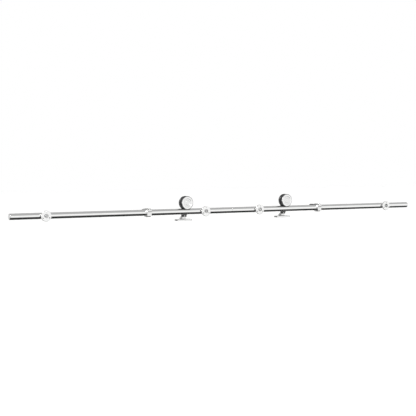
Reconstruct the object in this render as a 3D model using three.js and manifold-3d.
// Sliding barn door hardware: a round rail that runs from wall brackets, two end stops
// and two rollers that hang a door from top plates. Every piece is its own closed mesh.
//
// Units are millimetres. X runs along the rail, +Y from the wall into the room, +Z up.
// The origin is on the wall plane, at the rail's mid-length and at the height of its axis.
// Inside a bracket's group Y starts at the wall; inside a stop's or a roller's group
// Y and Z start on the rail's axis.

import * as THREE from 'three';
import { mergeVertices } from 'three/addons/utils/BufferGeometryUtils.js';
import Module from 'manifold-3d';

const wasm = await Module();
wasm.setup();

// ---------------------------------------------------------------- driving dimensions

const RAIL_LENGTH = 2000;
const RAIL_RADIUS = 12.5;
const RAIL_WALL = 1.5;
const RAIL_AXIS_Y = 22;
const GAP = 0.3; // play between touching pieces

const BRACKET_X = [-856, -137, 137, 856];
const STOP_X = { left: -406, right: 464 };
const ROLLER_X = { left: -224, right: 286 };

const FLANGE_RADIUS = 21.5;
const FLANGE_THICKNESS = 6.5;
const WHEEL_RADIUS = 28.6;
const ROLLING_RADIUS = 24; // at the bottom of the wheel's groove
const WHEEL_HALF_WIDTH = 13;
const HANGER_FRONT_Y = 18; // face of the hanger bar nearest the rail
const HANGER_THICKNESS = 6;
const DOOR_PLATE = { length: 72, width: 34, thickness: 6, y: 26 };

// Worked out from the dimensions above.
const GROOVE_RADIUS = RAIL_RADIUS + GAP;
const AXLE_Z = ROLLING_RADIUS + GROOVE_RADIUS;
const HANGER_BACK_Y = HANGER_FRONT_Y + HANGER_THICKNESS;
const BORE_RADIUS = RAIL_RADIUS - RAIL_WALL;

// Sides of the polygons that stand for circles.
const FINE = 30;
const ROUND = 20;
const SMALL = 10;
const HEX = 6;
const GROOVE_STEPS = 8;

const OVERSHOOT = 1; // how far a cutting tool sticks out of what it cuts

// ---------------------------------------------------------------- materials

const finish = (color, roughness, metalness) =>
  new THREE.MeshStandardMaterial({ color, roughness, metalness });

const STAINLESS = finish(0xd6d6d4, 0.18, 1);
const SATIN = finish(0xc4c4c2, 0.34, 1);
const FASTENER = finish(0xb0b0ae, 0.28, 1);
const BEARING_STEEL = finish(0xa8a8aa, 0.2, 1);
const NYLON = finish(0x161616, 0.45, 0);
const RUBBER = finish(0x101010, 0.8, 0);

// ---------------------------------------------------------------- solids

function toManifold(geometry) {
  const bare = geometry.clone();
  bare.deleteAttribute('normal');
  bare.deleteAttribute('uv');
  const merged = mergeVertices(bare);
  const index = merged.index.array;
  const triangles = [];
  for (let i = 0; i < index.length; i += 3) {
    const [a, b, c] = [index[i], index[i + 1], index[i + 2]];
    if (a !== b && b !== c && c !== a) {
      triangles.push(a, b, c);
    }
  }
  return new wasm.Manifold(new wasm.Mesh({
    numProp: 3,
    vertProperties: new Float32Array(merged.attributes.position.array),
    triVerts: new Uint32Array(triangles),
  }));
}

function toGeometry(manifold) {
  const mesh = manifold.getMesh();
  const geometry = new THREE.BufferGeometry();
  geometry.setAttribute('position', new THREE.BufferAttribute(mesh.vertProperties, 3));
  geometry.setIndex(new THREE.BufferAttribute(mesh.triVerts, 1));
  geometry.computeVertexNormals();
  return geometry;
}

function cut(base, ...tools) {
  let result = toManifold(base);
  for (const tool of tools) {
    result = result.subtract(toManifold(tool));
  }
  return toGeometry(result);
}

function join(base, ...others) {
  let result = toManifold(base);
  for (const other of others) {
    result = result.add(toManifold(other));
  }
  return toGeometry(result);
}

// A profile of [radius, distance] points, turned about the Y axis. The profile runs
// anticlockwise: out along the near end, up the outside and back in along the far end.
function turned(profile, sides = ROUND) {
  const points = profile.map(([radius, along]) => new THREE.Vector2(radius, along));
  return new THREE.LatheGeometry(points, sides);
}

function rod(radius, from, to, sides = ROUND) {
  return turned([[0, from], [radius, from], [radius, to], [0, to]], sides);
}

function ring(outer, inner, from, to, sides = ROUND) {
  return turned([[inner, from], [outer, from], [outer, to], [inner, to], [inner, from]], sides);
}

function box(x0, x1, y0, y1, z0, z1) {
  const geometry = new THREE.BoxGeometry(x1 - x0, y1 - y0, z1 - z0);
  return geometry.translate((x0 + x1) / 2, (y0 + y1) / 2, (z0 + z1) / 2);
}

// Stands a turned solid along X (direction +1 or -1) instead of along Y.
const alongX = (geometry, direction = 1) => geometry.rotateZ(-direction * Math.PI / 2);

// Stands a turned solid along +Z instead of along Y.
const alongZ = (geometry) => geometry.rotateX(Math.PI / 2);

const hexPrism = (acrossFlats, from, to) => rod(acrossFlats / Math.sqrt(3), from, to, HEX);

function hexNut(acrossFlats, holeRadius, from, to) {
  return cut(hexPrism(acrossFlats, from, to), rod(holeRadius, from - OVERSHOOT, to + OVERSHOOT, SMALL));
}

// The domed head's outline, as shares of its radius and of its height.
const BUTTON_HEAD = [[1, 0], [1, 0.35], [0.8, 0.8], [0.5, 1]];
const SOCKET_SHARE = 0.6; // of the head's height

// A screw along Y: its domed head rises from headFrom and its shank goes down to shankTo.
function buttonScrew({ headRadius, headHeight, shankRadius, headFrom, shankTo, socket }) {
  const headTo = headFrom + headHeight;
  const screw = turned([
    [0, shankTo],
    [shankRadius, shankTo],
    [shankRadius, headFrom],
    ...BUTTON_HEAD.map(([out, up]) => [headRadius * out, headFrom + headHeight * up]),
    [0, headTo],
  ], SMALL);
  const recess = hexPrism(socket, headTo - headHeight * SOCKET_SHARE, headTo + OVERSHOOT);
  return cut(screw, recess);
}

const hardware = new THREE.Group();

function piece(group, name, geometry, material) {
  const mesh = new THREE.Mesh(toGeometry(toManifold(geometry)), material);
  mesh.name = name;
  group.add(mesh);
  return mesh;
}

function groupAt(x, y, z) {
  const group = new THREE.Group();
  group.position.set(x, y, z);
  hardware.add(group);
  return group;
}

// ---------------------------------------------------------------- rail

const CAP_THICKNESS = 3;
const CAP_PLUG_LENGTH = 14;
const PLUG_LEAD = 1; // chamfer on the ends that enter the tube
const CAP_CHAMFER = 0.8;
const PLUG_RADIUS = BORE_RADIUS - 0.4; // an easy fit in the bore
const CONNECTOR_LENGTH = 160;
const SET_SCREW = { x: 40, radius: 2.5, length: 6, socket: 2.5, socketDepth: 2.5, inset: 0.2 };
const RAIL_BOLT_HOLE = 3.3;
const SEAM_GAP = 0.4;

function railTube(side) {
  const near = SEAM_GAP / 2;
  const far = RAIL_LENGTH / 2 - CAP_THICKNESS - GAP;
  const tube = alongX(ring(RAIL_RADIUS, BORE_RADIUS, near, far), side);
  const boltHoles = BRACKET_X
    .filter((x) => Math.sign(x) === side)
    .map((x) => rod(RAIL_BOLT_HOLE, -GROOVE_RADIUS, GROOVE_RADIUS, SMALL).translate(x, 0, 0));
  return cut(tube, ...boltHoles, setScrewHole(side));
}

function setScrewHole(side) {
  const hole = rod(SET_SCREW.radius + GAP, -GROOVE_RADIUS, SET_SCREW.length + GAP - RAIL_RADIUS, SMALL);
  return alongZ(hole).translate(side * SET_SCREW.x, 0, 0);
}

function railConnector() {
  const half = CONNECTOR_LENGTH / 2;
  const bar = alongX(turned([
    [0, -half],
    [PLUG_RADIUS - PLUG_LEAD, -half],
    [PLUG_RADIUS, -half + PLUG_LEAD],
    [PLUG_RADIUS, half - PLUG_LEAD],
    [PLUG_RADIUS - PLUG_LEAD, half],
    [0, half],
  ]));
  return cut(bar, setScrewHole(-1), setScrewHole(1));
}

function setScrew() {
  const from = SET_SCREW.inset - RAIL_RADIUS;
  const screw = rod(SET_SCREW.radius, from, from + SET_SCREW.length, SMALL);
  const socket = hexPrism(SET_SCREW.socket, from - OVERSHOOT, from + SET_SCREW.socketDepth);
  return alongZ(cut(screw, socket));
}

function endCap(side) {
  const outer = RAIL_LENGTH / 2;
  const seat = outer - CAP_THICKNESS;
  return alongX(turned([
    [0, seat - CAP_PLUG_LENGTH],
    [PLUG_RADIUS - PLUG_LEAD, seat - CAP_PLUG_LENGTH],
    [PLUG_RADIUS, seat - CAP_PLUG_LENGTH + PLUG_LEAD],
    [PLUG_RADIUS, seat],
    [RAIL_RADIUS, seat],
    [RAIL_RADIUS, outer - CAP_CHAMFER],
    [RAIL_RADIUS - CAP_CHAMFER, outer],
    [0, outer],
  ]), side);
}

function addRail() {
  const rail = groupAt(0, RAIL_AXIS_Y, 0);
  for (const [name, side] of [['left', -1], ['right', 1]]) {
    piece(rail, `rail_tube_${name}`, railTube(side), STAINLESS);
    piece(rail, `end_cap_${name}`, endCap(side), SATIN);
    const screw = piece(rail, `connector_screw_${name}`, setScrew(), FASTENER);
    screw.position.x = side * SET_SCREW.x;
  }
  piece(rail, 'rail_connector', railConnector(), SATIN);
}

// ---------------------------------------------------------------- wall brackets

const BOSS_RADIUS = 9;
const BOSS_END_Y = RAIL_AXIS_Y - 9.5; // past the bottom of the saddle that holds the rail
const FLANGE_CHAMFER = 1.6;
const BOSS_TOP_Z = 5; // flat, so that the wheels' rims pass over it
const NUT_POCKET = { radius: 8.5, depth: 5 };
const WALL_SCREW = { holeRadius: 2.25, headRadius: 4.4, circle: 15.5, count: 3 };
const RAIL_BOLT = { headRadius: 5.25, headHeight: 3.3, end: 0.8, socket: 4 };
const M6 = { radius: 3, acrossFlats: 10, nutHeight: 2.6, washerRadius: 6.4, washer: 1 };

function wallFlange() {
  const body = turned([
    [0, 0],
    [FLANGE_RADIUS, 0],
    [FLANGE_RADIUS, FLANGE_THICKNESS - FLANGE_CHAMFER],
    [FLANGE_RADIUS - FLANGE_CHAMFER, FLANGE_THICKNESS],
    [BOSS_RADIUS, FLANGE_THICKNESS],
    [BOSS_RADIUS, BOSS_END_Y],
    [0, BOSS_END_Y],
  ], FINE);
  const wide = BOSS_RADIUS + OVERSHOOT;
  const saddle = alongX(rod(GROOVE_RADIUS, -wide, wide)).translate(0, RAIL_AXIS_Y, 0);
  const flat = box(-wide, wide, FLANGE_THICKNESS, BOSS_END_Y + OVERSHOOT, BOSS_TOP_Z, wide);
  const pocket = rod(NUT_POCKET.radius, -OVERSHOOT, NUT_POCKET.depth);
  const boltHole = rod(RAIL_BOLT_HOLE, 0, BOSS_END_Y + OVERSHOOT, SMALL);
  return cut(body, saddle, flat, pocket, boltHole, ...wallScrewHoles());
}

function wallScrewHoles() {
  const { holeRadius, headRadius, circle, count } = WALL_SCREW;
  const holes = [];
  for (let i = 0; i < count; i += 1) {
    const angle = Math.PI / 2 + i * 2 * Math.PI / count;
    const hole = turned([
      [0, -OVERSHOOT],
      [holeRadius, -OVERSHOOT],
      [holeRadius, FLANGE_THICKNESS - (headRadius - holeRadius)],
      [headRadius + OVERSHOOT, FLANGE_THICKNESS + OVERSHOOT],
      [0, FLANGE_THICKNESS + OVERSHOOT],
    ], SMALL);
    holes.push(hole.translate(circle * Math.cos(angle), 0, circle * Math.sin(angle)));
  }
  return holes;
}

function railBolt() {
  return buttonScrew({
    headRadius: RAIL_BOLT.headRadius,
    headHeight: RAIL_BOLT.headHeight,
    shankRadius: M6.radius,
    headFrom: RAIL_AXIS_Y + RAIL_RADIUS + GAP,
    shankTo: RAIL_BOLT.end,
    socket: RAIL_BOLT.socket,
  });
}

function addBracket(x, number) {
  const bracket = groupAt(x, 0, 0);
  const washerTo = NUT_POCKET.depth - GAP;
  const nutTo = washerTo - M6.washer - GAP;
  const washer = ring(M6.washerRadius, M6.radius + GAP, washerTo - M6.washer, washerTo);
  const nut = hexNut(M6.acrossFlats, M6.radius + GAP, nutTo - M6.nutHeight, nutTo);
  piece(bracket, `wall_flange_${number}`, wallFlange(), SATIN);
  piece(bracket, `rail_bolt_${number}`, railBolt(), FASTENER);
  piece(bracket, `bolt_washer_${number}`, washer, FASTENER);
  piece(bracket, `bolt_nut_${number}`, nut, FASTENER);
}

// ---------------------------------------------------------------- end stops

const COLLAR = { radius: 18.5, halfWidth: 10, bevel: 0.8, earY: -18.5, earTop: 12, earBottom: -14 };
const COLLAR_SLIT = { z: 4.2, width: 2.4 };
const LUG = { halfWidth: 6, frontY: 8, backY: 31.5, bottom: 2.5, top: 15.5 };
const CLAMP_SCREW = {
  y: -15.7, radius: 2, headRadius: 3.5, headHeight: 3.6, sunk: 0.4, endZ: -7, socket: 3, socketDepth: 2,
};
const BUMPER = { y: 25, z: 9, radius: 7, reach: 25.5, bore: 12, nutHeight: 5 };
const BUMPER_SCREW = { tail: -18, tip: 17, lead: 0.7, socket: 2.5, socketDepth: 3 };

// The buffer's rounded end, as a share of its radius and a distance back from its tip.
const BUMPER_TIP = [[1, 4], [0.85, 1.6], [0.55, 0.3], [0.3, 0]];

function stopCollar() {
  const { radius, halfWidth, bevel, earY, earTop, earBottom } = COLLAR;
  const wide = halfWidth + OVERSHOOT;
  const hoop = alongX(turned([
    [0, -halfWidth],
    [radius - bevel, -halfWidth],
    [radius, bevel - halfWidth],
    [radius, halfWidth - bevel],
    [radius - bevel, halfWidth],
    [0, halfWidth],
  ], FINE));
  const ears = box(-halfWidth, halfWidth, earY, 0, earBottom, earTop);
  const lug = box(-LUG.halfWidth, LUG.halfWidth, LUG.frontY, LUG.backY, LUG.bottom, LUG.top);
  const bore = alongX(rod(GROOVE_RADIUS, -wide, wide));
  const slitFrom = COLLAR_SLIT.z - COLLAR_SLIT.width / 2;
  const slit = box(-wide, wide, earY - OVERSHOOT, -BORE_RADIUS, slitFrom, slitFrom + COLLAR_SLIT.width);
  const toolTop = earTop + OVERSHOOT;
  const screwHole = alongZ(rod(CLAMP_SCREW.radius + GAP, CLAMP_SCREW.endZ - GAP, toolTop, SMALL));
  const headFrom = earTop - CLAMP_SCREW.sunk - CLAMP_SCREW.headHeight - GAP;
  const headPocket = alongZ(rod(CLAMP_SCREW.headRadius + GAP, headFrom, toolTop, ROUND));
  return cut(
    join(hoop, ears, lug),
    bore,
    slit,
    screwHole.translate(0, CLAMP_SCREW.y, 0),
    headPocket.translate(0, CLAMP_SCREW.y, 0),
    alongX(rod(M6.radius + GAP, -wide, wide, SMALL)).translate(0, BUMPER.y, BUMPER.z),
  );
}

function stopClampScrew() {
  const headTo = COLLAR.earTop - CLAMP_SCREW.sunk;
  const headFrom = headTo - CLAMP_SCREW.headHeight;
  const screw = turned([
    [0, CLAMP_SCREW.endZ],
    [CLAMP_SCREW.radius, CLAMP_SCREW.endZ],
    [CLAMP_SCREW.radius, headFrom],
    [CLAMP_SCREW.headRadius, headFrom],
    [CLAMP_SCREW.headRadius, headTo],
    [0, headTo],
  ], SMALL);
  const socket = hexPrism(CLAMP_SCREW.socket, headTo - CLAMP_SCREW.socketDepth, headTo + OVERSHOOT);
  return alongZ(cut(screw, socket)).translate(0, CLAMP_SCREW.y, 0);
}

function bumperRubber() {
  const { radius, reach } = BUMPER;
  const from = LUG.halfWidth + GAP;
  const body = turned([
    [0, from],
    [radius - 1.2, from],
    [radius, from + 3],
    ...BUMPER_TIP.map(([out, back]) => [radius * out, reach - back]),
    [0, reach],
  ], ROUND);
  return cut(body, rod(M6.radius + GAP, from - OVERSHOOT, from + BUMPER.bore, SMALL));
}

function bumperScrew() {
  const { tail, tip, lead, socket, socketDepth } = BUMPER_SCREW;
  return cut(turned([
    [0, tail],
    [M6.radius - lead, tail],
    [M6.radius, tail + lead],
    [M6.radius, tip],
    [0, tip],
  ], SMALL), hexPrism(socket, tail - OVERSHOOT, tail + socketDepth));
}

function addStop(name, facing) {
  const stop = groupAt(STOP_X[name], RAIL_AXIS_Y, 0);
  const nutTo = -LUG.halfWidth - GAP;
  const nut = hexNut(M6.acrossFlats, M6.radius + GAP, nutTo - BUMPER.nutHeight, nutTo);
  piece(stop, `stop_collar_${name}`, stopCollar(), SATIN);
  piece(stop, `stop_clamp_screw_${name}`, stopClampScrew(), FASTENER);
  for (const [part, geometry, material] of [
    ['stop_bumper', bumperRubber(), RUBBER],
    ['bumper_screw', bumperScrew(), FASTENER],
    ['bumper_nut', nut, FASTENER],
  ]) {
    const mesh = piece(stop, `${part}_${name}`, alongX(geometry, facing), material);
    mesh.position.set(0, BUMPER.y, BUMPER.z);
  }
}

// ---------------------------------------------------------------- rollers

const TYRE_FRONT_Y = -11.5;
const TYRE_CHAMFER = 0.6;
const BEARING = { bore: 5, innerRing: 8.3, outerRing: 12, radius: 15, halfWidth: 4.5, shield: 0.6 };
const BEARING_STOP = 13; // inner radius of the tyre's shoulder behind the bearing
const CAP = { frontY: -14.3, backY: -11.8, radius: 27.6, bevel: 2.1, recessRadius: 18.6, recess: 1 };
const CAP_SPIGOT = { outer: 15, inner: 9.5 };
const M10 = { radius: 4.7, acrossFlats: 16, nutHeight: 6 };
const AXLE_HEAD = { radius: 7.5, height: 4.4, chamfer: 0.8, socket: 6, socketDepth: 2.6 };

// The cap nut's dome: a share of its radius, and a height above the hexagon's top.
const NUT_DOME = [[1, -2], [1, 1], [0.87, 3.4], [0.5, 5.3], [0, 6]];
const NUT_HOLE_ABOVE_HEX = 3.4;

function wheelTyre() {
  const seat = BEARING.radius + GAP;
  const shoulder = BEARING.halfWidth + GAP;
  const grooveHalf = Math.sqrt(GROOVE_RADIUS ** 2 - (AXLE_Z - WHEEL_RADIUS) ** 2);
  const sweep = Math.asin(grooveHalf / GROOVE_RADIUS);
  const groove = [];
  for (let i = 0; i <= GROOVE_STEPS; i += 1) {
    const angle = -sweep + 2 * sweep * i / GROOVE_STEPS;
    groove.push([AXLE_Z - GROOVE_RADIUS * Math.cos(angle), GROOVE_RADIUS * Math.sin(angle)]);
  }
  return turned([
    [seat, TYRE_FRONT_Y],
    [WHEEL_RADIUS - 0.2, TYRE_FRONT_Y],
    ...groove,
    [WHEEL_RADIUS, WHEEL_HALF_WIDTH - TYRE_CHAMFER],
    [WHEEL_RADIUS - TYRE_CHAMFER, WHEEL_HALF_WIDTH],
    [BEARING_STOP, WHEEL_HALF_WIDTH],
    [BEARING_STOP, shoulder],
    [seat, shoulder],
    [seat, TYRE_FRONT_Y],
  ], FINE);
}

function wheelCap() {
  const { frontY, backY, radius, bevel, recessRadius, recess } = CAP;
  const skin = 1;
  const hollowTo = frontY + recess + skin;
  return turned([
    [0, frontY + recess],
    [recessRadius - 0.4, frontY + recess],
    [recessRadius, frontY],
    [radius - bevel, frontY],
    [radius, frontY + bevel],
    [radius, backY],
    [CAP_SPIGOT.outer, backY],
    [CAP_SPIGOT.outer, -BEARING.halfWidth - GAP],
    [CAP_SPIGOT.inner, -BEARING.halfWidth - GAP],
    [CAP_SPIGOT.inner, hollowTo],
    [0, hollowTo],
  ], FINE);
}

// The outer ring carries the two shields that close the bearing.
function bearingOuter() {
  const { innerRing, outerRing, radius, halfWidth, shield } = BEARING;
  const lip = innerRing + GAP;
  return turned([
    [lip, -halfWidth],
    [radius, -halfWidth],
    [radius, halfWidth],
    [lip, halfWidth],
    [lip, halfWidth - shield],
    [outerRing, halfWidth - shield],
    [outerRing, shield - halfWidth],
    [lip, shield - halfWidth],
    [lip, -halfWidth],
  ]);
}

function axleBolt() {
  const headTo = -BEARING.halfWidth - GAP;
  const headFrom = headTo - AXLE_HEAD.height;
  const end = HANGER_BACK_Y + M10.nutHeight + NUT_HOLE_ABOVE_HEX - 0.4;
  const bolt = turned([
    [0, headFrom],
    [AXLE_HEAD.radius - AXLE_HEAD.chamfer, headFrom],
    [AXLE_HEAD.radius, headFrom + AXLE_HEAD.chamfer],
    [AXLE_HEAD.radius, headTo],
    [M10.radius, headTo],
    [M10.radius, end],
    [0, end],
  ], ROUND);
  return cut(bolt, hexPrism(AXLE_HEAD.socket, headFrom - OVERSHOOT, headFrom + AXLE_HEAD.socketDepth));
}

// A cap nut: a hexagon with a closed dome behind it.
function axleNut() {
  const from = HANGER_BACK_Y + GAP;
  const hexTo = from + M10.nutHeight;
  const domeRadius = M10.acrossFlats / 2 - 0.6;
  const outline = NUT_DOME.map(([out, up]) => [domeRadius * out, hexTo + up]);
  const dome = turned([[0, outline[0][1]], ...outline]);
  const hole = rod(M10.radius + GAP, from - OVERSHOOT, hexTo + NUT_HOLE_ABOVE_HEX, ROUND);
  return cut(join(hexPrism(M10.acrossFlats, from, hexTo), dome), hole);
}

// The hanger: a flat bar, wide at the axle and narrow at the foot, bent into the room.
const BEND_RADIUS = 2; // outside of the hanger's bend
const HANGER = { topHalf: 12, neckHalf: 8.5, shoulderZ: -8, neckZ: -12, footLength: 20 };
const FOOT_TOP_Z = -28.3;
const PLATE_TOP_Z = FOOT_TOP_Z - HANGER_THICKNESS - GAP;
const FOOT_BOLT_Y = 35;
const SHOE = { half: 10.3, frontY: 14, backY: 25, bottom: -24.5, top: -13.5 };
const SHOE_LIP = { frontY: 9, bottom: -16.3 };
const SHOE_SCREW = {
  z: -20.4, radius: 2.5, headRadius: 3.8, headHeight: 2.4, socket: 3, end: 22.5, holeTo: 23,
};

function hangerBar() {
  const { topHalf, neckHalf, shoulderZ, neckZ, footLength } = HANGER;
  const bottom = FOOT_TOP_Z - HANGER_THICKNESS;
  const outline = new THREE.Shape();
  outline.moveTo(-neckHalf, bottom);
  outline.lineTo(neckHalf, bottom);
  outline.lineTo(neckHalf, neckZ);
  outline.lineTo(topHalf, shoulderZ);
  outline.absarc(0, AXLE_Z, topHalf, 0, Math.PI);
  outline.lineTo(-topHalf, shoulderZ);
  outline.lineTo(-neckHalf, neckZ);
  const strap = new THREE.ExtrudeGeometry(outline, {
    depth: HANGER_THICKNESS, bevelEnabled: false, curveSegments: 8,
  }).rotateX(Math.PI / 2).translate(0, HANGER_BACK_Y, 0);
  const foot = box(-neckHalf, neckHalf, HANGER_FRONT_Y, HANGER_BACK_Y + footLength, bottom, FOOT_TOP_Z);
  const heel = bendCorner(HANGER_FRONT_Y, bottom, neckHalf + OVERSHOOT);
  const footHole = alongZ(rod(M8.radius + GAP, bottom - OVERSHOOT, FOOT_TOP_Z + OVERSHOOT, SMALL));
  return cut(
    join(strap, foot),
    heel,
    rod(M10.radius + GAP, 0, HANGER_BACK_Y + OVERSHOOT, ROUND).translate(0, 0, AXLE_Z),
    rod(SHOE_SCREW.radius + GAP, 0, SHOE_SCREW.holeTo, SMALL).translate(0, 0, SHOE_SCREW.z),
    footHole.translate(0, FOOT_BOLT_Y, 0),
  );
}

// What a bend takes away from the bar's square outer corner.
function bendCorner(y, z, halfWidth) {
  const inY = y + BEND_RADIUS;
  const inZ = z + BEND_RADIUS;
  const corner = box(-halfWidth, halfWidth, y - OVERSHOOT, inY, z - OVERSHOOT, inZ);
  const bend = alongX(rod(BEND_RADIUS, -halfWidth - OVERSHOOT, halfWidth + OVERSHOOT));
  return cut(corner, bend.translate(0, inY, inZ));
}

// The anti-lift shoe clips on to the neck of the hanger and reaches under the rail.
function antiLiftShoe() {
  const { half, frontY, backY, bottom, top } = SHOE;
  const block = box(-half, half, frontY, backY, bottom, top);
  const lip = box(-half, half, SHOE_LIP.frontY, frontY + 2, SHOE_LIP.bottom, top);
  const channelHalf = HANGER.neckHalf + GAP;
  const channel = box(
    -channelHalf, channelHalf, HANGER_FRONT_Y - GAP, backY + OVERSHOOT, bottom - OVERSHOOT, top + OVERSHOOT,
  );
  const hole = rod(SHOE_SCREW.radius + GAP, frontY - OVERSHOOT, HANGER_FRONT_Y, SMALL);
  return cut(join(block, lip), channel, hole.translate(0, 0, SHOE_SCREW.z));
}

function shoeScrew() {
  const screw = buttonScrew({
    headRadius: SHOE_SCREW.headRadius,
    headHeight: SHOE_SCREW.headHeight,
    shankRadius: SHOE_SCREW.radius,
    headFrom: -SHOE.frontY + GAP,
    shankTo: -SHOE_SCREW.end,
    socket: SHOE_SCREW.socket,
  });
  return screw.rotateX(Math.PI);
}

const M8 = { radius: 4, acrossFlats: 13, nutHeight: 5.5 };
const PLATE_BOLT = { headRadius: 7.6, sink: 0.6, tipChamfer: 0.8, proud: 1.5, socket: 5, socketDepth: 2.5 };
const DOOR_SCREW = { x: 27, y: 9.5, holeRadius: 2.6, headRadius: 5 };
const PLATE_CORNER = 8;
const PLATE_BEVEL = 0.6;

function doorPlate() {
  const { length, width, thickness, y } = DOOR_PLATE;
  const outline = roundedRectangle(length, width, PLATE_CORNER);
  const slab = new THREE.ExtrudeGeometry(outline, {
    depth: thickness - 2 * PLATE_BEVEL,
    bevelEnabled: true,
    bevelThickness: PLATE_BEVEL,
    bevelSize: PLATE_BEVEL,
    bevelOffset: -PLATE_BEVEL,
    bevelSegments: 1,
    curveSegments: 3,
  }).translate(0, y, PLATE_TOP_Z - thickness + PLATE_BEVEL);
  const holes = [];
  for (const x of [-DOOR_SCREW.x, DOOR_SCREW.x]) {
    for (const dy of [-DOOR_SCREW.y, DOOR_SCREW.y]) {
      holes.push(countersink(DOOR_SCREW.holeRadius, DOOR_SCREW.headRadius).translate(x, y + dy, 0));
    }
  }
  return cut(slab, ...holes, plateBoltHole());
}

function roundedRectangle(length, width, corner) {
  const x = length / 2 - corner;
  const y = width / 2 - corner;
  const outline = new THREE.Shape();
  outline.absarc(x, -y, corner, -Math.PI / 2, 0);
  outline.absarc(x, y, corner, 0, Math.PI / 2);
  outline.absarc(-x, y, corner, Math.PI / 2, Math.PI);
  outline.absarc(-x, -y, corner, Math.PI, 1.5 * Math.PI);
  return outline;
}

// A hole through the plate that widens towards its top face.
function countersink(holeRadius, headRadius) {
  const bottom = PLATE_TOP_Z - DOOR_PLATE.thickness - OVERSHOOT;
  return alongZ(turned([
    [0, bottom],
    [holeRadius, bottom],
    [holeRadius, PLATE_TOP_Z - (headRadius - holeRadius)],
    [headRadius + OVERSHOOT, PLATE_TOP_Z + OVERSHOOT],
    [0, PLATE_TOP_Z + OVERSHOOT],
  ], SMALL));
}

// The plate's own bolt comes from below, with its flat head sunk into the underside.
function plateBoltHole() {
  const { headRadius, sink } = PLATE_BOLT;
  const bottom = PLATE_TOP_Z - DOOR_PLATE.thickness;
  const taperTo = bottom + sink + headRadius - M8.radius;
  return alongZ(turned([
    [0, bottom - OVERSHOOT],
    [headRadius + GAP, bottom - OVERSHOOT],
    [headRadius + GAP, bottom + sink],
    [M8.radius + GAP, taperTo],
    [M8.radius + GAP, PLATE_TOP_Z + OVERSHOOT],
    [0, PLATE_TOP_Z + OVERSHOOT],
  ], ROUND)).translate(0, FOOT_BOLT_Y, 0);
}

function plateBolt() {
  const { headRadius, tipChamfer, proud, socket, socketDepth } = PLATE_BOLT;
  const bottom = PLATE_TOP_Z - DOOR_PLATE.thickness + GAP;
  const end = FOOT_TOP_Z + GAP + M8.nutHeight + proud;
  const bolt = turned([
    [0, bottom],
    [headRadius, bottom],
    [M8.radius, bottom + headRadius - M8.radius],
    [M8.radius, end - tipChamfer],
    [M8.radius - tipChamfer, end],
    [0, end],
  ], ROUND);
  const recess = hexPrism(socket, bottom - OVERSHOOT, bottom + socketDepth);
  return alongZ(cut(bolt, recess)).translate(0, FOOT_BOLT_Y, 0);
}

function addRoller(name) {
  const roller = groupAt(ROLLER_X[name], RAIL_AXIS_Y, 0);
  const wheel = new THREE.Group();
  wheel.position.z = AXLE_Z;
  roller.add(wheel);
  const { bore, innerRing, halfWidth } = BEARING;
  const spacerFrom = halfWidth + GAP;
  const spacerTo = HANGER_FRONT_Y - GAP;
  const footNut = hexNut(M8.acrossFlats, M8.radius + GAP, GAP, GAP + M8.nutHeight);
  piece(wheel, `wheel_tyre_${name}`, wheelTyre(), NYLON);
  piece(wheel, `wheel_cap_${name}`, wheelCap(), STAINLESS);
  piece(wheel, `bearing_outer_${name}`, bearingOuter(), BEARING_STEEL);
  piece(wheel, `bearing_inner_${name}`, ring(innerRing, bore, -halfWidth, halfWidth), BEARING_STEEL);
  piece(wheel, `axle_bolt_${name}`, axleBolt(), FASTENER);
  piece(wheel, `axle_spacer_${name}`, ring(innerRing, bore, spacerFrom, spacerTo), SATIN);
  piece(wheel, `axle_nut_${name}`, axleNut(), STAINLESS);
  piece(roller, `hanger_bar_${name}`, hangerBar(), STAINLESS);
  piece(roller, `anti_lift_shoe_${name}`, antiLiftShoe(), NYLON);
  const screw = piece(roller, `shoe_screw_${name}`, shoeScrew(), FASTENER);
  screw.position.z = SHOE_SCREW.z;
  piece(roller, `door_plate_${name}`, doorPlate(), STAINLESS);
  piece(roller, `plate_bolt_${name}`, plateBolt(), FASTENER);
  const nut = piece(roller, `plate_nut_${name}`, alongZ(footNut), FASTENER);
  nut.position.set(0, FOOT_BOLT_Y, FOOT_TOP_Z);
}

// ---------------------------------------------------------------- assembly

addRail();
BRACKET_X.forEach((x, i) => addBracket(x, i + 1));
addStop('left', 1);
addStop('right', -1);
addRoller('left');
addRoller('right');

export default hardware;
